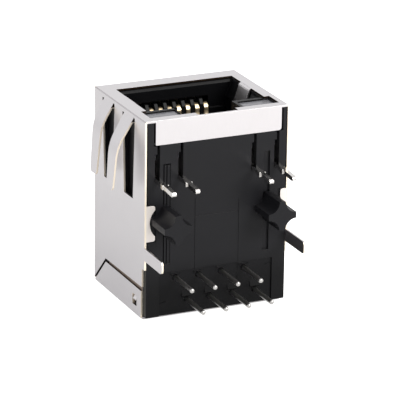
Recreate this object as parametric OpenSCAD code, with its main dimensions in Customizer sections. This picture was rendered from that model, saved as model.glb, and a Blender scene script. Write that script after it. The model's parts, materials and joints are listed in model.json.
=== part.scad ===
// Shielded board jack for an eight-contact modular plug, with its line transformers
// inside and two indicator lamps at the mouth. The part stands on its rear cover:
// +Z points out of the mouth and -Y faces the circuit board. Inside the modules y
// counts from the board plane, and from_board() moves the piece into the part's frame.

/* [Body] */
// Width over the side panels
body_w = 15.9; // [15.7:0.05:16.1]
// Height above the board
body_d = 13.4; // [13.35:0.05:13.5]
// Length from the rear cover to the mouth
body_l = 21.3; // [21.25:0.05:21.4]
// Thickness of the shield sheet
sheet = 0.2; // [0.18:0.01:0.22]
// Outer radius of the folds of the shield
fold_r = 0.3; // [0.26:0.02:0.4]

/* [Spring fingers] */
// Width of a finger at its root
finger_root_w = 2.35; // [2.2:0.05:2.5]
// Width of a finger at its tip
finger_tip_w = 1.6; // [1.2:0.1:2]
// How far the left finger beside the board stands out
finger_lift_low = 2.1; // [1.5:0.05:2.2]
// How far the left finger beside the top, and the two on the top, stand out
finger_lift_high = 1.7; // [1.2:0.05:1.8]
// How far the two right fingers stand out
finger_lift_right = 1.3; // [1.2:0.05:2]

/* [Mouth] */
// Width of the plug cavity
plug_w = 11.84; // [11.7:0.02:12]
// Height of the plug cavity
plug_h = 6.7; // [6.6:0.05:6.8]
// Depth of the plug cavity
plug_l = 11.9; // [11:0.1:12]
// Width of the channel for the plug's latch
latch_w = 6.5; // [6.2:0.1:6.6]
// Width of the notch in the front panel for the latch's handle
notch_w = 4.4; // [3.8:0.1:4.8]

/* [Contacts] */
// Spacing of the eight contacts
contact_pitch = 1.016; // [1:0.002:1.03]
// Width of a contact wire
contact_w = 0.46; // [0.36:0.02:0.48]
// Thickness of a contact wire
contact_t = 0.3; // [0.25:0.01:0.3]

/* [Signal pins] */
// Diameter of a signal pin
pin_d = 0.5; // [0.44:0.02:0.54]
// How far the pins reach below the board plane
pin_reach = 4.2; // [3:0.1:4.6]
// Distance of the first pin row from the rear cover's outer face
pin_row_z = 1.82; // [1.76:0.01:1.9]
// Spacing of the two rows and of the pins in a row
pin_pitch = 2.54; // [2.5:0.01:2.56]

/* [Board posts] */
// Distance between the centres of the two posts
post_span = 11.43; // [11.3:0.01:11.6]
// Distance of the posts from the rear cover's outer face
post_z = 10.73; // [10.6:0.01:10.9]
// Half of the width of a post over two opposite ribs
post_r = 1.55; // [1.45:0.05:1.65]
// Distance of the hollows between the ribs from a post's middle
post_waist = 0.97; // [0.9:0.01:1.05]
// How far the posts reach below the board plane
post_reach = 3.5; // [2.5:0.05:4]

/* [Lamps] */
// Distance from the middle of the jack to a lamp's inner lead
lead_in_x = 4.05; // [4:0.01:4.1]
// Spacing of the two leads of a lamp
lead_pitch = 2.54; // [2.5:0.01:2.56]
// Side of a lead's square section
lead_w = 0.46; // [0.4:0.02:0.5]
// How far the leads reach below the board plane
lead_reach = 4.3; // [3:0.1:4.6]

/* [Hidden] */
$fn = 48;
e = 0.5; // overshoot of a cut

half_w = body_w / 2;
in_x = half_w - sheet;    // inner face of a side panel
in_y = body_d - sheet;    // inner face of the top panel
in_z = body_l - sheet;    // inner face of the front panel

// Edges of the side panels and of the rear cover's ears
rear_edge_y = 0.86;       // rear cover and ears start above the board
panel_step_y = 0.65;      // recess of a side panel beside the pins
panel_step_z = 5.6;
ear_top = 3.13;           // top edge of an ear
ear_r = 0.5;              // its lower corner beside the board
panel_low = [3.64, 3.48]; // lower edge of a side panel, beside the board and at the mitre
mitre = 13.21;            // y + z along the ear's sloping edge
mitre_gap = 0.4;
tongue_x = in_x - sheet;  // tongues of the side panels lie inside the ears
latch_y = [1.93, 3.02];   // windows in the ears for the tongues' nubs
latch_z = [1.08, 2.2];
nub_z = [1.62, 2.05];
leg_z = [6.65, 7.97];     // soldering legs
leg_reach = 4.38;
flange_x = 6.95;          // flanges folded onto the board face beside the posts
flange_z = [8.6, 12.4];

// Spring fingers: two bends, then straight down to the tip
finger_z = 20.75;         // hinge line
finger_tip_z = 13.3;
finger_kick = 31;         // angle of the first stretch to the panel
finger_run = 4.5;         // angle of the long stretch
finger_bend = 5;          // bend radius between the two
window_z = [12.33, 20.33];
window_w = [2.3, 3.1];    // width at the lower and at the upper end
hinge_slot = [-1.55, -1.17, 20.9];   // a slot and a hole on either side of the hinge
hinge_hole = [1.15, 1.59, 20.78];
window_low_y = 4.2;       // middle of the finger beside the board
window_high_y = 9.45;     // middle of the finger beside the top
top_window_x = 3.9;

// Mouth
front_x = 0.15;           // the openings of the front panel sit this far beside the middle
mouth_w = 13.04;          // opening above the lamps
mouth_top = 11.27;
lip_x = 6.45;             // the housing's own mouth, and its chamfer
lip_y = 11.12;
lip_z = 20.75;
lamp_zone = 14.2;         // opening beside the lamps
lamp_top = 3.4;           // lamps fill the corners below this height
lamp_bottom = 1.05;
lamp_in = 3.45;
lamp_out = 7.0;
lamp_back = 16.8;
lamp_face = in_z - 0.15;
cavity_y = [4.1, 4.1 + plug_h];
cavity_back = in_z - plug_l;
catch_z = 19.3;           // the latch catches behind this depth
flap_w = 13.86;
flap_z = 18.71;
spring_y = [6.45, 8.95];  // grounding springs beside the plug

// Lamp leads
lead_z = 15.1;            // middle of a lead at the board plane
lead_lean = 0.06;         // slope of its straight end
lead_y = 2.2;             // it leaves the back of its lamp at this height
slot_w = 0.55;
slot_z = 15.28;           // the slot is as wide as the lead below this

// Contacts
run_y = 11.7;             // straight run through the carrier
tip_y = 10.8;             // start of the spring stretch
bend_z = 18.27;
carrier_y = [10.7, 12.4];
carrier_w = 7.86;
carrier_z = 19.55;        // end of its passage
tail_z = [5.7, 7.0];      // tails of odd and even contacts
board_y = [6.9, 7.7];     // inner board
tooth_w = 0.36;
tooth_z = 19.3;

// Rear end
base_w = 12.6;
base_top = 5.1;           // top of the pin base on the board face
base_low = 0.4;           // its lower edge on the board face
base_step = 0.15;         // its face lies this far above the board plane
line_x = 2.43;            // fine lines down the board face
mark = [5.86, 1.82, 4.43];           // marks left by ejectors
cup_w = 13.6;
cup_z = 8.2;
toroid_r = [0.65, 1.3];
toroid_t = 1.6;
toroid_pitch = 3.1;
wire = 0.22;
toroid_y = 3.12;
toroid_z = cup_z - 0.3 - wire - toroid_t / 2;   // the turns rest on the cup's front wall

// Limits of a width w about a middle c
function span(c, w) = [c - w / 2, c + w / 2];
function contact_x(i) = (i - 4.5) * contact_pitch;
function pin_z(i) = pin_row_z + (i % 2 == 1 ? pin_pitch : 0);
function pin_x(i) = (i - 4.5) * pin_pitch / 2;
function lead_x(i) = (i < 3 ? -1 : 1) * (lead_in_x + (i == 1 || i == 4 ? lead_pitch : 0));

// ---- helpers -------------------------------------------------------------------

module from_board() translate([0, -body_d / 2, 0]) children();

// Block given by its limits along each axis
module block(x, y, z) {
    translate([x[0], y[0], z[0]]) cube([x[1] - x[0], y[1] - y[0], z[1] - z[0]]);
}

module both() {
    children();
    mirror([1, 0, 0]) children();
}

// Plates: an outline in (y, z), (x, z) or (x, y) given a thickness along x, y or z
module plate_x(x) translate([x[0], 0, 0]) rotate([90, 0, 90]) linear_extrude(x[1] - x[0]) children();
module plate_y(y) translate([0, y[1], 0]) rotate([90, 0, 0]) linear_extrude(y[1] - y[0]) children();
module plate_z(z) translate([0, 0, z[0]]) linear_extrude(z[1] - z[0]) children();

// Rectangle whose listed corners, such as [1, -1], are rounded
module rounded(u, v, r, corners) {
    difference() {
        translate([u[0], v[0]]) square([u[1] - u[0], v[1] - v[0]]);
        for (c = corners)
            translate([(c[0] > 0 ? u[1] : u[0]) - c[0] * r, (c[1] > 0 ? v[1] : v[0]) - c[1] * r])
                difference() {
                    translate([min(0, c[0]) * 2 * r, min(0, c[1]) * 2 * r]) square(2 * r);
                    circle(r);
                }
    }
}

function arc(c, r, a0, a1, n) =
    [for (i = [0 : n]) c + r * [cos(a0 + (a1 - a0) * i / n), sin(a0 + (a1 - a0) * i / n)]];

// Outline of a strip of thickness t along the middle line path
function side(path, i, t) =
    let (d = path[min(len(path) - 1, i + 1)] - path[max(0, i - 1)])
    path[i] + [-d[1], d[0]] / norm(d) * t / 2;
function strip(path, t) = concat(
    [for (i = [0 : len(path) - 1]) side(path, i, t)],
    [for (i = [len(path) - 1 : -1 : 0]) side(path, i, -t)]
);

// ---- shield --------------------------------------------------------------------

// Closed box of the shield's outer faces, or of its inner faces at inset = sheet
module shield_form(inset) {
    r = fold_r - inset;
    x = [-half_w + inset, half_w - inset];
    y = [inset > 0 ? -e : 0, body_d - inset];
    z = [inset, body_l - inset];
    intersection() {
        plate_z(z) rounded(x, y, r, [[-1, 1], [1, 1]]);
        plate_y(y) rounded(x, z, r, [[-1, -1], [1, -1]]);
        plate_x(x) rounded(y, z, r, [[1, -1], [1, 1]]);
    }
}

// Middle line of a spring finger: distance from the panel's outer face, height
function finger_path(lift) =
    let (
        hinge = [-sheet / 2, finger_z],
        bend = finger_bend * [cos(finger_run) - cos(finger_kick), sin(finger_run) - sin(finger_kick)],
        tip_o = lift - sheet / 2,
        run_d = [sin(finger_run), -cos(finger_run)],
        kick_d = [sin(finger_kick), -cos(finger_kick)],
        gap = [tip_o, finger_tip_z] - hinge - bend,
        det = kick_d[0] * run_d[1] - kick_d[1] * run_d[0],
        kick_l = (gap[0] * run_d[1] - gap[1] * run_d[0]) / det,
        start = hinge + kick_l * kick_d,
        centre = start - finger_bend * [cos(finger_kick), sin(finger_kick)]
    )
    concat(
        [hinge + [0, 0.4], hinge],
        arc(centre, finger_bend, finger_kick, finger_run, 6),
        [[tip_o, finger_tip_z]]
    );

// A finger on a panel whose outer face is x = 0, centred on y = 0
module finger(lift) {
    tip_r = 0.3;
    intersection() {
        plate_y([-finger_root_w, finger_root_w]) polygon(strip(finger_path(lift), sheet));
        plate_x([-1, 3]) polygon([
            [-finger_root_w / 2, body_l], [-finger_root_w / 2, finger_z],
            [-finger_tip_w / 2, finger_tip_z + tip_r], [-finger_tip_w / 2 + tip_r, finger_tip_z - e / 5],
            [finger_tip_w / 2 - tip_r, finger_tip_z - e / 5], [finger_tip_w / 2, finger_tip_z + tip_r],
            [finger_root_w / 2, finger_z], [finger_root_w / 2, body_l]
        ]);
    }
}

// Window round a finger, outline in (y, z): it is closed above the hinge
module finger_window() {
    low = window_w[0] / 2;
    high = window_w[1] / 2;
    polygon([[-low, window_z[0]], [low, window_z[0]], [high, window_z[1]], [-high, window_z[1]]]);
    for (h = [hinge_slot, hinge_hole])
        translate([h[0], window_z[1] - e]) square([h[1] - h[0], h[2] - window_z[1] + e]);
}

module side_windows() {
    for (y = [window_low_y, window_high_y])
        translate([0, y, 0]) plate_x([in_x - e, half_w + e]) finger_window();
}

module top_windows() {
    both() translate([top_window_x, 0, 0]) rotate([0, 0, 90])
        plate_x([in_y - e, body_d + e]) finger_window();
}

module mouth_outline() {
    translate([-mouth_w / 2, lamp_top]) square([mouth_w, mouth_top - lamp_top]);
    translate([-lamp_zone / 2, lamp_bottom]) square([lamp_zone, lamp_top - lamp_bottom + 0.01]);
    rounded(span(0, notch_w), [0.3, lamp_bottom + 0.1], 0.2, [[-1, -1], [1, -1]]);
}

// Gap between an ear and the side panel, outline in (y, z)
module ear_gap_outline() {
    polygon([
        [-e, ear_top], [mitre - ear_top, ear_top], [mitre - ear_top + 2 * e, ear_top - 2 * e],
        [body_d + 0.01, mitre - body_d], [body_d + 0.01, mitre + mitre_gap - body_d],
        [mitre + mitre_gap - panel_low[1], panel_low[1]], [0, panel_low[0]], [-e, panel_low[0]]
    ]);
}

module side_cuts() {
    plate_x([in_x - 0.01, half_w + e]) ear_gap_outline();
    block([in_x - e, half_w + e], [-e, panel_step_y], [ear_top, panel_step_z]);
    side_windows();
    // latch window of the ear
    block([in_x - 0.01, half_w + e], latch_y, latch_z);
    // the front panel is butted against the side panel: a fine groove runs along the corner
    block([half_w - 0.11, half_w + e], [-e, body_d - fold_r / 2], [body_l - 0.11, body_l + e]);
}

// Rounding of an ear's lower corner beside the board
module ear_corner() {
    plate_x([in_x - 0.01, half_w + e]) difference() {
        translate([rear_edge_y - e, -e]) square(ear_r + e);
        translate([rear_edge_y + ear_r, ear_r]) circle(ear_r);
    }
}

// What is added to the side panel on side s
module side_adds(s) {
    shift = s * front_x;
    edge = mouth_w / 2 + shift;
    // tongue inside the ear, with the nub that snaps into the ear's window
    difference() {
        block([tongue_x, in_x], [rear_edge_y, 9.6], [0.45, panel_low[0] + 0.6]);
        block([tongue_x - e, in_x + e], latch_y + 0.1 * [1, -1], [latch_z[0], nub_z[0]]);
    }
    plate_y(latch_y + [0.2, -0.16]) polygon([
        [in_x - 0.01, nub_z[0]], [half_w - 0.02, nub_z[0]], [half_w - 0.02, nub_z[0] + 0.1],
        [in_x - 0.01, nub_z[1]]
    ]);
    // soldering leg in the plane of the panel
    plate_x([in_x, half_w]) rounded([-leg_reach, 0.5], leg_z, 0.42, [[-1, -1], [-1, 1]]);
    // flange folded onto the board face, hollowed round the post
    difference() {
        plate_y([0, sheet])
            rounded([flange_x + shift, half_w], flange_z, 0.25, [[-1, -1], [-1, 1]]);
        translate([post_span / 2 - 0.3, e, post_z - 0.2]) rotate([90, 0, 0])
            cylinder(r = 1.96, h = 2 * e);
    }
    // grounding spring folded into the mouth
    plate_y(spring_y) polygon(strip([
        [edge + 0.4, in_z + sheet / 2], each arc([edge + 0.1, in_z + sheet / 2 - 0.3], 0.3, 90, 162, 5),
        [5.93, 19.2], [5.9, 18.7], [6.15, 17.4]
    ], sheet));
}

module shield_shell() {
    color([0.82, 0.81, 0.82]) from_board() {
        difference() {
            shield_form(0);
            shield_form(sheet);
            block([-body_w, body_w], [-e, rear_edge_y], [-e, ear_top]);
            both() ear_corner();
            translate([front_x, 0, 0]) plate_z([in_z - e, body_l + e]) mouth_outline();
            both() side_cuts();
            top_windows();
        }
        side_adds(1);
        mirror([1, 0, 0]) side_adds(-1);
        for (y = [window_low_y, window_high_y]) translate([half_w, y, 0]) finger(finger_lift_right);
        mirror([1, 0, 0]) {
            translate([half_w, window_low_y, 0]) finger(finger_lift_low);
            translate([half_w, window_high_y, 0]) finger(finger_lift_high);
        }
        both() translate([top_window_x, body_d, 0]) rotate([0, 0, 90]) finger(finger_lift_high);
        // flap folded from the front panel over the housing's lip
        plate_y([0, sheet]) intersection() {
            rounded(span(front_x, flap_w), [flap_z, in_z + 0.1], 0.12, [[-1, -1]]);
            rounded(span(front_x, flap_w), [flap_z, in_z + 0.1], 0.3, [[1, -1]]);
        }
    }
}

// ---- housing -------------------------------------------------------------------

// Post with four blunt ribs joined by hollow arcs
module post() {
    rib = 0.33;  // half of a rib's thickness at its tip
    chord = (post_r - rib) / sqrt(2);
    sagitta = (post_r + rib) / sqrt(2) - post_waist;
    hollow_r = (chord * chord + sagitta * sagitta) / (2 * sagitta);
    rotate([90, 0, 0]) translate([post_span / 2, post_z, 0]) difference() {
        translate([0, 0, -sheet]) cylinder(r = post_r, h = post_reach + sheet);
        for (a = [45 : 90 : 315])
            rotate([0, 0, a]) translate([post_waist + hollow_r, 0, -e])
                cylinder(r = hollow_r, h = post_reach + 2 * e);
    }
}

// Slot for a lamp lead, with the bump that holds the lamp down
module lead_slot() {
    block(span(0, lead_w + 0.04), [-e, lead_y + lead_w], [lead_z - lead_w / 2 - 0.04, slot_z + 0.1]);
    block(span(0, slot_w), [-e, lead_y + lead_w], [slot_z, lamp_back + 0.1]);
    difference() {
        block(span(0, slot_w), [-e, lamp_bottom + 0.1], [lamp_back - 0.1, flap_z + 0.2]);
        block([-slot_w, -0.02], [-2 * e, 0.3], [17.75, flap_z - 0.1]);
    }
}

module housing_cavities() {
    // plug cavity and the channel of its latch
    block([-plug_w / 2, plug_w / 2], cavity_y, [cavity_back, in_z + e]);
    block([-latch_w / 2, latch_w / 2], [lamp_bottom, cavity_y[0] + e], [cavity_back, in_z + e]);
    block([-latch_w / 2, latch_w / 2], [0.6, lamp_bottom + 0.1], [11, catch_z]);
    block([-notch_w / 2, notch_w / 2], [-e, lamp_bottom + 0.1], [catch_z - 0.1, in_z + e]);
    // mouth above the plug, with its chamfer
    block([-plug_w / 2, plug_w / 2], [cavity_y[1] - e, lip_y], [bend_z, in_z + e]);
    plate_x([front_x - lip_x, front_x + lip_x]) polygon([
        [lip_y - 0.1, lip_z - 0.1], [lip_y + in_z - lip_z, in_z], [lip_y, in_z + e], [lip_y - 0.1, in_z + e]
    ]);
    translate([front_x, 0, 0]) both() plate_y([lamp_top + 0.45, lip_y]) polygon([
        [plug_w / 2 - front_x - 0.1, 19.1], [lip_x, lip_z], [lip_x, in_z + e], [0, in_z + e], [0, 19.1]
    ]);
    // passage of the contact carrier
    block(span(0, carrier_w), [carrier_y[0] - 0.1, carrier_y[1]], [-e, carrier_z]);
    // chamber for the transformers, open at the rear
    block([-cup_w / 2, cup_w / 2], [1.05, carrier_y[1]], [-e, cup_z]);
    block([-base_w / 2, base_w / 2], [-e, 1.1], [-e, base_top]);
    both() {
        // pocket of the grounding spring
        block([plug_w / 2 - e, 6.95], [spring_y[0] - 0.15, spring_y[1] + 0.15], [16.2, in_z + e]);
        // room behind the fingers of the shield
        for (y = [window_low_y, window_high_y])
            block([in_x - 0.45, in_x + e], span(y, 3.3), [window_z[0] - 0.1, 20.85]);
        // tongue of the shield
        block([tongue_x, in_x + e], [rear_edge_y - 0.05, 9.7], [-e, panel_low[0] + 0.7]);
        // fine gap beside the side panel
        block([in_x - 0.12, in_x + e], [-e, 0.4], [leg_z[1], in_z - 0.4]);
    }
    // lamp pockets
    translate([front_x, 0, 0]) both()
        block([lamp_in, lamp_out], [lamp_bottom, lamp_top], [lamp_back, in_z + e]);
}

// Fine lines down the middle of the board face and of the pin base
module face_lines() {
    block(span(-line_x, 0.06), [-e, base_step + 0.04], [4.95, base_top]);
    block(span(-line_x, 0.06), [-e, 0.04], [base_top, 12.65]);
    block(span(line_x, 0.06), [-e, base_step + 0.04], [2.3, base_top]);
    block(span(line_x, 0.06), [-e, 0.04], [base_top, 12]);
}

module board_face_cuts() {
    // seat of the flap, and the finer groove beside it
    translate([front_x, 0, 0]) {
        block(span(0, flap_w + 0.4), [-e, sheet], [flap_z - 0.05, in_z + e]);
        both() block([flap_w / 2, flap_w / 2 + 0.2], [-e, 0.6], [flap_z - 0.05, in_z + e]);
    }
    both() {
        // seat of the folded flange
        block([flange_x - 0.25, half_w], [-e, sheet], flange_z + 0.08 * [-1, 1]);
    }
    // hollow beside each post; the left one has two low bars down it
    block([5.14, 5.86], [-e, 0.25], [6, 16.65]);
    difference() {
        block([-5.93, -5.14], [-e, 0.3], [6, 16.65]);
        for (x = [[-5.78, -5.56], [-5.46, -5]]) block(x, [0.08, 1], [5.9, 16.5]);
    }
    block([-line_x, line_x], [-e, 0.04], [10.7, 10.75]);
    face_lines();
    // the rear end stands back from the rear cover
    block([-body_w, body_w], [-e, rear_edge_y], [-e, base_low]);
    for (i = [1 : 4]) translate([lead_x(i), 0, 0]) lead_slot();
}

module housing() {
    color([0.16, 0.16, 0.17]) from_board() {
        difference() {
            intersection() {
                shield_form(sheet);
                block([-body_w, body_w], [0, body_d], [0, body_l]);
            }
            housing_cavities();
            board_face_cuts();
        }
        both() post();
    }
}

// ---- rear insert ---------------------------------------------------------------

module pin_base() {
    rim = 0.5;
    room_x = [-cup_w / 2 + rim, cup_w / 2 - rim];
    top = [board_y[0] - 3.7, board_y[0] + e];
    color([0.2, 0.2, 0.21]) from_board() difference() {
        union() {
            block(span(0, base_w), [base_step, 1.1], [base_low, base_top]);
            block(span(0, cup_w), [1.05, board_y[0]], [sheet, cup_z]);
            // a small wedge stands above each pin
            for (i = [1 : 8]) translate([pin_x(i), 0, pin_z(i)])
                plate_x(span(0, 1.1)) polygon([
                    [base_step + 0.01, 0.4], [0, 0.4], [base_step + 0.01, i % 2 == 1 ? 0.5 : 1.1]
                ]);
        }
        face_lines();
        // undercut below each wedge, and the wider mouth of each pin's hole
        for (i = [1 : 8]) translate([pin_x(i), 0, pin_z(i)]) {
            block(span(0, 1.1), [-e, 0.5], [0.3, 0.4]);
            translate([0, 0.4, 0]) rotate([90, 0, 0]) cylinder(d = pin_d + 0.1, h = 0.4 + e);
        }
        for (m = [[-mark[0], mark[1]], [mark[0], mark[2]]]) translate([m[0], 0, m[1]])
            rotate([0, -14, 0]) block(span(0, 0.7), [-e, base_step + 0.08], span(0, 0.1));
        // room for the toroids, and the hollow between the pins and the inner board
        block(room_x, [toroid_y - toroid_r[1] - wire - 0.1, top[1]], [base_top + 0.3, cup_z - 0.3]);
        block(room_x, top, [0.8, base_top]);
        for (i = [1 : 8]) translate([pin_x(i), top[0] + e, pin_z(i)]) rotate([90, 0, 0])
            cylinder(d = pin_d, h = top[0] + 2 * e);
    }
}

module signal_pin(i) {
    tip = 0.2;
    top = board_y[1] + 0.3;
    color([0.86, 0.85, 0.83]) from_board() translate([pin_x(i), -pin_reach, pin_z(i)])
        rotate([-90, 0, 0]) rotate_extrude() polygon(concat(
            [[0, 0]],
            arc([pin_d / 2 - tip, tip], tip, -90, 0, 6),
            [[pin_d / 2, pin_reach + top], [0, pin_reach + top]]
        ));
}

module inner_board() {
    color([0.13, 0.4, 0.22]) from_board() difference() {
        block(span(0, cup_w - 0.1), board_y, [0.4, cup_z]);
        for (i = [1 : 8]) {
            translate([pin_x(i), board_y[1] + 1, pin_z(i)]) rotate([90, 0, 0]) cylinder(d = pin_d, h = 3);
            block(span(contact_x(i), contact_w), board_y + e * [-1, 1],
                  span(tail_z[i % 2], contact_t));
        }
    }
}

module resistor(i) {
    color([0.12, 0.12, 0.12]) from_board()
        translate([(i - 2.5) * pin_pitch, board_y[1], pin_row_z + pin_pitch / 2])
            block([-0.8, 0.8], [0, 0.45], [-0.4, 0.4]);
}

module capacitor() {
    color([0.72, 0.6, 0.42]) from_board() translate([5.7, board_y[1], 6.3])
        block([-0.8, 0.8], [0, 1.25], [-1.6, 1.6]);
}

module toroid_place(i) {
    from_board() translate([(i - 2.5) * toroid_pitch, toroid_y, toroid_z]) children();
}

module toroid_core(i) {
    color([0.25, 0.25, 0.27]) toroid_place(i) difference() {
        cylinder(r = toroid_r[1], h = toroid_t, center = true);
        cylinder(r = toroid_r[0], h = toroid_t + 1, center = true);
    }
}

// Turns of enamelled wire, each a loop round the core's section
module toroid_winding(i) {
    turns = 12;
    gap = 0.02;
    loop_in = [toroid_r[0] - gap, toroid_r[1]];
    color([0.75, 0.36, 0.16]) toroid_place(i) for (k = [1 : turns])
        rotate([0, 0, k * 320 / turns]) plate_y(wire / 2 * [-1, 1]) difference() {
            translate([loop_in[0] - wire, -toroid_t / 2 - wire])
                square([loop_in[1] - loop_in[0] + 2 * wire, toroid_t + 2 * wire]);
            translate([loop_in[0], -toroid_t / 2]) square([loop_in[1] - loop_in[0], toroid_t]);
        }
}

// ---- contacts ------------------------------------------------------------------

function contact_path(i) =
    let (
        r = (run_y - tip_y) / 2,
        tail = tail_z[i % 2],
        low_r = 0.4,
        swing = 24,
        swing_r = 2,
        swing_c = [tip_y - swing_r, bend_z],
        last = swing_c + swing_r * [cos(swing), -sin(swing)]
    )
    concat(
        [[board_y[0] - 0.3, tail]],
        arc([run_y - low_r, tail + low_r], low_r, -90, 0, 6),
        arc([run_y - r, bend_z], r, 0, 180, 12),
        [for (a = [4 : 4 : swing]) swing_c + swing_r * [cos(a), -sin(a)]],
        [last - 5 * [sin(swing), cos(swing)]]
    );

module contact_form(i, w) {
    translate([contact_x(i), 0, 0]) plate_x(span(0, w)) polygon(strip(contact_path(i), contact_t));
}

module contact(i) {
    color([0.93, 0.78, 0.45]) from_board() contact_form(i, contact_w);
}

// Comb that carries the contacts: a plate with a tooth between each two of them
module contact_carrier() {
    plate_y0 = run_y + contact_t / 2;
    w = carrier_w - 0.1;
    leg = [5.2, 7.5];
    plate_top = 18.3;
    color([0.15, 0.15, 0.16]) from_board() difference() {
        union() {
            block(span(0, w), [plate_y0, carrier_y[1]], [leg[0], plate_top]);
            block(span(0, w), [8.6, plate_y0 + 0.01], leg);
            for (i = [1 : 7]) translate([contact_x(i) + contact_pitch / 2, 0, 0])
                plate_x(span(0, tooth_w)) polygon([
                    [plate_y0 + 0.01, leg[0]], [plate_y0 + 0.01, plate_top], [plate_y0, tooth_z],
                    [11.05, tooth_z], [carrier_y[0], 18.8], [carrier_y[0], cavity_back],
                    [11.35, leg[0]]
                ]);
        }
        for (i = [1 : 8]) contact_form(i, contact_w);
    }
}

// ---- lamps ---------------------------------------------------------------------

module led(side) {
    gap = 0.03;
    color([0.72, 0.73, 0.76, 0.8]) from_board() translate([front_x, 0, 0])
        mirror([side < 0 ? 1 : 0, 0, 0])
            block([lamp_in + gap, lamp_out - gap], [lamp_bottom, lamp_top - gap], [lamp_back, lamp_face]);
}

module lead_outline() {
    bend = 0.35;
    out_z = lead_z + lead_lean * (lead_y - bend);
    tip = [lead_w / 2 - lead_reach, lead_z - lead_lean * lead_reach];
    polygon(strip(concat(
        [[lead_y, lamp_back]],
        arc([lead_y - bend, out_z + bend], bend, 0, -90, 5),
        [tip]
    ), lead_w));
    translate(tip) circle(d = lead_w);
}

module led_lead(i) {
    color([0.85, 0.85, 0.84]) from_board() translate([lead_x(i), 0, 0]) {
        plate_x(span(0, lead_w)) lead_outline();
        // stub left by the cut tie bar
        intersection() {
            plate_x(span(0, lead_w + 0.24)) lead_outline();
            block([-1, 1], [-2.1, -1.6], [0, body_l]);
        }
    }
}

// ---- the part ------------------------------------------------------------------

shield_shell();
housing();
pin_base();
contact_carrier();
for (i = [1 : 8]) {
    contact(i);
    signal_pin(i);
}
inner_board();
capacitor();
for (i = [1 : 4]) {
    resistor(i);
    toroid_core(i);
    toroid_winding(i);
    led_lead(i);
}
led(-1);  // led_left
led(1);  // led_right
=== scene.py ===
"""Looks of the shielded board jack: node-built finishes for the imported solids, a white studio
and the camera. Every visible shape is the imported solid's own."""

import json
import math

import bpy
import numpy as np
from mathutils import Matrix, Vector


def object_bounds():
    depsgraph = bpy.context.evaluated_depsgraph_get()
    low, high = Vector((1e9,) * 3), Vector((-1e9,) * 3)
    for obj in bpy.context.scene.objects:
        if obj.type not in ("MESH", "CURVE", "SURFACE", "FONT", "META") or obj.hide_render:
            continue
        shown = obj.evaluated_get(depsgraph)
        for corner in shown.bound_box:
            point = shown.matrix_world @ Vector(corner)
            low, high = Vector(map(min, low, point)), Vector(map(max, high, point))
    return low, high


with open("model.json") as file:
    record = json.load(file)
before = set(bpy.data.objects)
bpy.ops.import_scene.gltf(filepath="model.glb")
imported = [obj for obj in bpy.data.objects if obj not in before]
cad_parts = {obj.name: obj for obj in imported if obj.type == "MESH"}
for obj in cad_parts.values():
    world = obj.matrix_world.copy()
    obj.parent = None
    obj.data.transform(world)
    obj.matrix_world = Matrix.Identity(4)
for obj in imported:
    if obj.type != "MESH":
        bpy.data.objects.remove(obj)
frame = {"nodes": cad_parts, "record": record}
cad_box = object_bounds()
nodes = frame["nodes"]
MM = 0.001

# limits of the painted highlights and shade laid over the finishes; X is measured from the middle to either
# side
PANEL_X = 7.745 * MM  # the side panels' inner faces lie between this and the next
PANEL_LAP_X = 7.755 * MM
TONGUE_X = 7.5 * MM  # the rear cover's tongues lie past this
TONGUE_TOP_Z = 4.4 * MM
FLANGE_X = 6.6 * MM  # the flanges beside the posts lie past this
FLANGE_Z = (8 * MM, 13 * MM)
MOUTH_X = 7.6 * MM  # the front frame's inner edge lies inside these three
MOUTH_Y = -6.45 * MM
MOUTH_Z = 21.09 * MM
HINGE_Y = -6.4 * MM  # the panels' front edges lie before this
HINGE_Z = (20.4 * MM, 20.95 * MM)  # height of the slots and holes at the fingers' hinges
EAR_Z = (0.4 * MM, 3.8 * MM)  # height of the gaps over the ears
# painted shade: the mouldings are painted darker inside the mouth, within the next two limits, and downwards
# over the height after them
CAVITY_X = 6.6 * MM  # the mouth's inside lies within this and behind the next
CAVITY_Y = -6 * MM
PAINTED_SHADE_Z = (2.6 * MM, 7 * MM)  # the mouldings darken downwards over this height

# studio
FLOOR_HALF = 0.6
FLOOR_WHITE = 0.8
FLOOR_LIFT = 0.31  # floor's own light, as polished metal and glass see it
FLOOR_GLOW = 0.6  # and what the camera sees on top of that
WORLD_LIGHT = 0.62
WORLD_SEEN = 1.0
LAMP_TINT = (1, 0.985, 0.95)

# camera, in mm and degrees: a height on the Z axis, and the way from there to the camera
AIM_Z = 10.7
AZIMUTH = -24.465
ELEVATION = 19.232
ROLL = 0.756
SHIFT_SIDE = 1.054
SHIFT_TOP = -0.711
DISTANCE = 310.308
SCALE = 9.697  # of WIDTH across the view, for each mm of the part
WIDTH = 400
SENSOR = 36


def srgb(r, g, b):
    """Linear colour of an 8-bit screen colour."""
    c = np.array([r, g, b]) / 255.0
    return tuple(np.where(c <= 0.04045, c / 12.92, ((c + 0.055) / 1.055) ** 2.4)) + (1.0,)


# ---- shader groups ------------------------------------------------------------------


def new_group(name, inputs, outputs):
    """Empty shader group with float, colour or vector sockets; inputs give their defaults."""
    tree = bpy.data.node_groups.new(name, "ShaderNodeTree")
    for label, kind, value in inputs:
        socket = tree.interface.new_socket(label, in_out="INPUT", socket_type="NodeSocket" + kind)
        if value is not None:
            socket.default_value = value
    for label, kind in outputs:
        tree.interface.new_socket(label, in_out="OUTPUT", socket_type="NodeSocket" + kind)
    return tree, tree.nodes.new("NodeGroupInput"), tree.nodes.new("NodeGroupOutput")


def add(tree, kind, links=(), **settings):
    """A node with settings; links are (input name or index, source socket or plain value)."""
    node = tree.nodes.new("ShaderNode" + kind)
    for key, value in settings.items():
        setattr(node, key, value)
    for key, source in links:
        if isinstance(source, bpy.types.NodeSocket):
            tree.links.new(source, node.inputs[key])
        else:
            node.inputs[key].default_value = source
    return node


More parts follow.
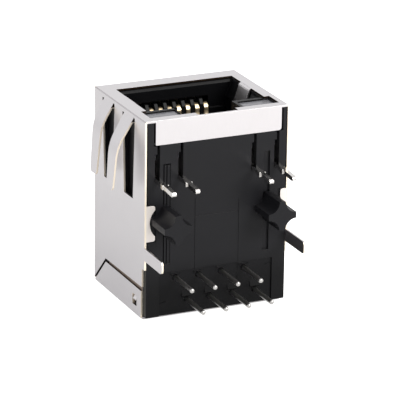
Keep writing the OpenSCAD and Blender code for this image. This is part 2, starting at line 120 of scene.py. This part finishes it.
def grain_group():
    """Fine surface grain: a value about 0.5 from two noises, stretched by Stretch along Z,
    and its height in metres."""
    tree, gin, gout = new_group(
        "fine_grain",
        [("Scale", "Float", 3000.0), ("Stretch", "Float", 1.0), ("Depth", "Float", 1e-6)],
        [("Value", "Float"), ("Height", "Float")],
    )
    place = add(tree, "TexCoord")
    scale = add(tree, "CombineXYZ", [("X", 1.0), ("Y", 1.0), ("Z", gin.outputs["Stretch"])])
    spot = add(
        tree, "VectorMath", [(0, place.outputs["Object"]), (1, scale.outputs[0])], operation="MULTIPLY"
    )
    fine = add(
        tree, "TexNoise", [("Vector", spot.outputs[0]), ("Scale", gin.outputs["Scale"]), ("Detail", 3.0)]
    )
    wide = add(tree, "TexNoise", [("Vector", place.outputs["Object"]), ("Scale", 420.0), ("Detail", 2.0)])
    both = add(tree, "Math", [(0, fine.outputs["Fac"]), (1, wide.outputs["Fac"])], operation="ADD")
    half = add(tree, "Math", [(0, both.outputs[0]), (1, 0.5)], operation="MULTIPLY")
    high = add(tree, "Math", [(0, fine.outputs["Fac"]), (1, gin.outputs["Depth"])], operation="MULTIPLY")
    tree.links.new(half.outputs[0], gout.inputs["Value"])
    tree.links.new(high.outputs[0], gout.inputs["Height"])
    return tree


def edge_group():
    """Rounded edges: the normal of a small fillet of the given radius, and a mask that is 1
    where that normal has turned away from the face."""
    tree, gin, gout = new_group(
        "rounded_edge", [("Radius", "Float", 0.00006)], [("Normal", "Vector"), ("Mask", "Float")]
    )
    fillet = add(tree, "Bevel", [("Radius", gin.outputs["Radius"])], samples=6)
    face = add(tree, "NewGeometry")
    dot = add(
        tree,
        "VectorMath",
        [(0, fillet.outputs[0]), (1, face.outputs["True Normal"])],
        operation="DOT_PRODUCT",
    )
    mask = add(
        tree, "MapRange", [("Value", dot.outputs["Value"]), ("From Min", 0.999), ("From Max", 0.85)]
    )
    tree.links.new(fillet.outputs[0], gout.inputs["Normal"])
    tree.links.new(mask.outputs[0], gout.inputs["Mask"])
    return tree


def painted_edge_light_group():
    """Masks of where light and shade are painted on the shield: Outer, a painted highlight on the edges
    of the side panels and fingers that face the board; Inner, painted shade round the mouth and in the
    holes at the fingers' hinges; Gap, painted shade on the edges between the ears and the side panels;
    Tongue, painted shade on what shows of the tongue between them; Flange, a painted highlight on the flanges
    beside the posts."""
    tree, gin, gout = new_group(
        "painted_edge_light_and_shade",
        [],
        [(label, "Float") for label in ("Outer", "painted_inner_shade", "Gap", "painted_tongue_shade", "painted_flange_highlight")],
    )
    place = add(tree, "SeparateXYZ", [(0, add(tree, "TexCoord").outputs["Object"])])
    turn = add(tree, "SeparateXYZ", [(0, add(tree, "NewGeometry").outputs["True Normal"])])
    x = add(tree, "Math", [(0, place.outputs["X"])], operation="ABSOLUTE").outputs[0]
    y, z = place.outputs["Y"], place.outputs["Z"]
    nx, nz = (
        add(tree, "Math", [(0, turn.outputs[axis])], operation="ABSOLUTE").outputs[0] for axis in "XZ"
    )
    ny = turn.outputs["Y"]

    def above(value, limit):
        return add(tree, "Math", [(0, value), (1, limit)], operation="GREATER_THAN").outputs[0]

    def below(value, limit):
        return add(tree, "Math", [(0, value), (1, limit)], operation="LESS_THAN").outputs[0]

    def every(first, *others):
        for other in others:
            first = add(tree, "Math", [(0, first), (1, other)], operation="MULTIPLY").outputs[0]
        return first

    edge = every(below(ny, -0.6), above(x, PANEL_X))
    inner = every(above(z, MOUTH_Z), below(nz, 0.5), below(x, MOUTH_X), above(y, MOUTH_Y))
    hinge = every(above(x, PANEL_X), above(y, HINGE_Y), above(z, HINGE_Z[0]), below(z, HINGE_Z[1]))
    holes = every(hinge, below(nx, 0.3))
    outer = add(tree, "Math", [(0, edge), (1, hinge)], operation="SUBTRACT", use_clamp=True).outputs[0]
    inner = add(tree, "Math", [(0, inner), (1, holes)], operation="MAXIMUM").outputs[0]
    sheared = every(below(nx, 0.3), above(ny, -0.9), above(x, PANEL_X), above(z, EAR_Z[0]))
    tongue = every(below(x, PANEL_LAP_X), above(x, TONGUE_X), above(z, EAR_Z[0]), below(nz, 0.5))
    flange = every(
        below(ny, -0.6), above(x, FLANGE_X), below(x, PANEL_X), below(z, FLANGE_Z[1]), above(z, FLANGE_Z[0])
    )
    tree.links.new(outer, gout.inputs["Outer"])
    tree.links.new(flange, gout.inputs["painted_flange_highlight"])
    tree.links.new(inner, gout.inputs["painted_inner_shade"])
    tree.links.new(every(sheared, below(z, EAR_Z[1])), gout.inputs["Gap"])
    tree.links.new(every(tongue, below(z, TONGUE_TOP_Z)), gout.inputs["painted_tongue_shade"])
    return tree


GRAIN, EDGE, PAINTED_EDGES = grain_group(), edge_group(), painted_edge_light_group()


def group(tree, source, values):
    """A group node with its inputs set."""
    node = tree.nodes.new("ShaderNodeGroup")
    node.node_tree = source
    for key, value in values.items():
        node.inputs[key].default_value = value
    return node


def over(tree, shader, mask, colour, roughness=None):
    """Lays a colour, and a roughness, over the shader's own where the mask is 1."""
    base = shader.inputs["Base Color"].links[0].from_socket
    mix = add(tree, "Mix", data_type="RGBA")
    tree.links.new(mask, mix.inputs[0])
    tree.links.new(base, mix.inputs[6])
    mix.inputs[7].default_value = colour
    tree.links.new(mix.outputs[2], shader.inputs["Base Color"])
    if roughness is not None:
        base = shader.inputs["Roughness"].links[0].from_socket
        mix = add(tree, "Mix", [(0, mask), (2, base), (3, roughness)])
        tree.links.new(mix.outputs[0], shader.inputs["Roughness"])


def finish_of(name, low, high, grain, edge, roughness, **fixed):
    """Principled finish whose colour, roughness and normal vary with grain and rounded edges."""
    made = bpy.data.materials.new(name)
    made.use_nodes = True
    tree = made.node_tree
    shader = tree.nodes["Principled BSDF"]
    speck = group(tree, GRAIN, grain)
    fillet = group(tree, EDGE, {"Radius": edge})
    tint = add(tree, "Mix", data_type="RGBA")
    tint.inputs[6].default_value, tint.inputs[7].default_value = low, high
    tree.links.new(speck.outputs["Value"], tint.inputs[0])
    tree.links.new(tint.outputs[2], shader.inputs["Base Color"])
    rough = add(
        tree,
        "MapRange",
        [("Value", speck.outputs["Value"]), ("To Min", roughness[0]), ("To Max", roughness[1])],
    )
    tree.links.new(rough.outputs[0], shader.inputs["Roughness"])
    bump = add(tree, "Bump", [("Height", speck.outputs["Height"]), ("Normal", fillet.outputs["Normal"])])
    bump.inputs["Strength"].default_value = 1.0
    bump.inputs["Distance"].default_value = 1.0
    tree.links.new(bump.outputs[0], shader.inputs["Normal"])
    for key, value in fixed.items():
        shader.inputs[key.replace("_", " ")].default_value = value
    return made, tree, shader


def sheet_finish():
    """Bright nickel on rolled steel, with painted highlights on the board-facing edges and the flanges, and
    painted shade round the mouth, in the hinge holes and in the gaps over the ears.
    """
    made, tree, shader = finish_of(
        "shield_sheet", srgb(207, 204, 206), srgb(215, 212, 214),
        {"Scale": 5200.0, "Stretch": 0.25, "Depth": 1e-7}, 0.00003, (0.26, 0.36), Metallic=1.0,
    )
    cut = group(tree, PAINTED_EDGES, {})
    # painted highlight on the board-facing edges of the side panels and fingers
    over(tree, shader, cut.outputs["Outer"], srgb(250, 240, 224), 0.6)
    # painted highlight on the flanges beside the posts, laid over the reflection of the dark post
    over(tree, shader, cut.outputs["painted_flange_highlight"], srgb(236, 230, 226), 0.62)
    # painted shade on the mouth's inner edges and in the holes at the fingers' hinges
    over(tree, shader, cut.outputs["painted_inner_shade"], srgb(50, 38, 30), 0.5)
    # painted shade on the sheet's edges in the gaps over the ears
    over(tree, shader, cut.outputs["Gap"], srgb(66, 54, 46), 0.5)
    # painted shade on the tongue where it shows in the gaps over the ears
    over(tree, shader, cut.outputs["painted_tongue_shade"], srgb(150, 134, 124), 0.5)
    return made


def plastic_finish(name, low, high, roughness, shine=0.26, painted_shade_colour=None):
    """Satin moulded plastic with a fine spark-eroded grain; given a shade colour, it is
    painted that colour towards the bottom of the part and inside the mouth, as painted shade."""
    made, tree, shader = finish_of(
        name, low, high, {"Scale": 9000.0, "Stretch": 1.0, "Depth": 8e-7}, 0.00005, roughness,
        Specular_IOR_Level=shine,
    )
    if painted_shade_colour:
        # painted shade: darker towards the bottom of the part and inside the mouth
        place = add(tree, "SeparateXYZ", [(0, add(tree, "TexCoord").outputs["Object"])])
        depth = add(
            tree,
            "MapRange",
            [("Value", place.outputs["Z"]), ("From Min", PAINTED_SHADE_Z[1]), ("From Max", PAINTED_SHADE_Z[0])],
            interpolation_type="SMOOTHSTEP",
        )
        width = add(tree, "Math", [(0, place.outputs["X"])], operation="ABSOLUTE")
        side = add(tree, "Math", [(0, width.outputs[0]), (1, CAVITY_X)], operation="LESS_THAN")
        inside = add(tree, "Math", [(0, place.outputs["Y"]), (1, CAVITY_Y)], operation="GREATER_THAN")
        mouth = add(tree, "Math", [(0, side.outputs[0]), (1, inside.outputs[0])], operation="MULTIPLY")
        painted_shade_mask = add(tree, "Math", [(0, depth.outputs[0]), (1, mouth.outputs[0])], operation="MAXIMUM")
        over(tree, shader, painted_shade_mask.outputs[0], painted_shade_colour)
    return made


def plate_finish(name, low, high, roughness, radius=0.00005):
    """Plated wire or stamping."""
    grain = {"Scale": 7000.0, "Stretch": 1.0, "Depth": 5e-7}
    return finish_of(name, low, high, grain, radius, roughness, Metallic=1.0)[0]


def lens_finish():
    """Clear milky moulding of the unlit lamps."""
    grain = {"Scale": 2500.0, "Stretch": 1.0, "Depth": 3e-7}
    return finish_of(
        "lamp_lens", srgb(150, 150, 158), srgb(166, 166, 174), grain, 0.0001, (0.2, 0.3),
        IOR=1.5, Transmission_Weight=0.5,
    )[0]


finishes = {
    "shield_sheet": sheet_finish(),
    # the last colour given to the housing and insert plastics is painted shade for the bottom and the mouth's
    # inside
    "housing_plastic": plastic_finish(
        "housing_plastic", srgb(23, 23, 26), srgb(29, 29, 32), (0.34, 0.46), 0.17, srgb(5, 5, 7)
    ),
    "insert_plastic": plastic_finish(
        "insert_plastic", srgb(21, 21, 24), srgb(27, 27, 30), (0.36, 0.48), 0.15, srgb(4, 4, 6)
    ),
    "carrier_plastic": plastic_finish(
        "carrier_plastic", srgb(12, 12, 13), srgb(20, 20, 21), (0.34, 0.44), 0.17
    ),
    "contact_gold": plate_finish(
        "contact_gold", srgb(236, 212, 172), srgb(244, 224, 190), (0.3, 0.4), radius=0.00012
    ),
    "tinned_pin": plate_finish("tinned_pin", srgb(180, 178, 176), srgb(200, 198, 196), (0.24, 0.35)),
    "lamp_lead": plate_finish("lamp_lead", srgb(205, 202, 200), srgb(222, 220, 218), (0.12, 0.2)),
    "board_laminate": plastic_finish("board_laminate", srgb(22, 92, 50), srgb(34, 112, 64), (0.3, 0.42)),
    "resistor_body": plastic_finish("resistor_body", srgb(24, 24, 26), srgb(38, 38, 40), (0.2, 0.35)),
    "capacitor_body": plastic_finish("capacitor_body", srgb(176, 140, 98), srgb(196, 160, 116), (0.4, 0.55)),
    "ferrite": plastic_finish("ferrite", srgb(52, 52, 56), srgb(74, 74, 78), (0.6, 0.75)),
    "winding_copper": plate_finish("winding_copper", srgb(170, 84, 46), srgb(196, 104, 62), (0.2, 0.3)),
    "lamp_lens": lens_finish(),
}

for part in frame["record"]["subparts"]:
    mesh = nodes[part["node"]].data
    mesh.materials.clear()
    mesh.materials.append(finishes[part["material_slot"]])


# ---- studio -------------------------------------------------------------------------


def seen(tree):
    """1 for rays from the camera and for those off polished metal or through glass."""
    path = add(tree, "LightPath")
    rays = add(tree, "Math", [(0, path.outputs["Is Camera Ray"]), (1, path.outputs["Is Glossy Ray"])])
    rays = add(tree, "Math", [(0, rays.outputs[0]), (1, path.outputs["Is Transmission Ray"])], use_clamp=True)
    return rays.outputs[0]


def studio():
    """White floor and world, and two disk lamps from the right front."""
    low, high = (Vector(c) for c in cad_box)
    centre = (low + high) / 2
    floor_mesh = bpy.data.meshes.new("floor")
    corners = [(x * FLOOR_HALF, y * FLOOR_HALF, low.z) for x, y in ((-1, -1), (1, -1), (1, 1), (-1, 1))]
    floor_mesh.from_pydata(corners, [], [(0, 1, 2, 3)])
    floor = bpy.data.objects.new("floor", floor_mesh)
    bpy.context.collection.objects.link(floor)
    white = bpy.data.materials.new("floor_paper")
    white.use_nodes = True
    tree = white.node_tree
    shader = tree.nodes["Principled BSDF"]
    shader.inputs["Base Color"].default_value = (FLOOR_WHITE, FLOOR_WHITE, FLOOR_WHITE, 1)
    shader.inputs["Roughness"].default_value = 0.9
    shader.inputs["Specular IOR Level"].default_value = 0.0
    shader.inputs["Emission Color"].default_value = (1, 1, 1, 1)
    lift = add(tree, "MapRange", [("Value", seen(tree)), ("To Min", 0.0), ("To Max", FLOOR_LIFT)])
    more = add(tree, "LightPath").outputs["Is Camera Ray"]
    more = add(tree, "Math", [(0, more), (1, FLOOR_GLOW), (2, lift.outputs[0])], operation="MULTIPLY_ADD")
    tree.links.new(more.outputs[0], shader.inputs["Emission Strength"])
    floor_mesh.materials.append(white)

    world = bpy.data.worlds.new("studio")
    world.use_nodes = True
    bpy.context.scene.world = world
    tree = world.node_tree
    back = tree.nodes["Background"]
    strength = add(tree, "MapRange", [("Value", seen(tree)), ("To Min", WORLD_LIGHT), ("To Max", WORLD_SEEN)])
    back.inputs["Color"].default_value = (1, 1, 1, 1)
    tree.links.new(strength.outputs[0], back.inputs["Strength"])

    def lamp(name, place, size, power):
        data = bpy.data.lights.new(name, "AREA")
        data.shape = "DISK"
        data.size = size
        data.energy = power
        data.color = LAMP_TINT
        obj = bpy.data.objects.new(name, data)
        obj.location = centre + Vector(place)
        obj.rotation_mode = "QUATERNION"
        obj.rotation_quaternion = (-Vector(place)).to_track_quat("-Z", "Y")
        bpy.context.collection.objects.link(obj)

    lamp("key", (0.1, -0.2, 0.14), 0.14, 0.5)
    lamp("top", (0.14, -0.12, 0.31), 0.1, 0.16)


def camera():
    """Camera at azimuth -24.5, elevation 19.2 degrees, 0.31 m away, with a long lens."""
    a, e, roll = (math.radians(v) for v in (AZIMUTH, ELEVATION, ROLL))
    back = Vector((math.sin(a) * math.cos(e), -math.cos(a) * math.cos(e), math.sin(e)))
    right = Vector((0, 0, 1)).cross(back).normalized()
    up = back.cross(right)
    side = math.cos(roll) * right + math.sin(roll) * up
    top = -math.sin(roll) * right + math.cos(roll) * up
    place = (Vector((0, 0, AIM_Z)) + SHIFT_SIDE * side + SHIFT_TOP * top + DISTANCE * back) * MM
    data = bpy.data.cameras.new("camera")
    data.sensor_width = SENSOR
    data.lens = SCALE * DISTANCE / WIDTH * SENSOR
    data.clip_start = 0.01
    data.clip_end = 5
    obj = bpy.data.objects.new("camera", data)
    turn = Matrix((side, top, back)).transposed().to_4x4()
    obj.matrix_world = Matrix.Translation(place) @ turn
    bpy.context.collection.objects.link(obj)
    bpy.context.scene.camera = obj


studio()
camera()
bpy.context.scene.view_settings.view_transform = "Standard"
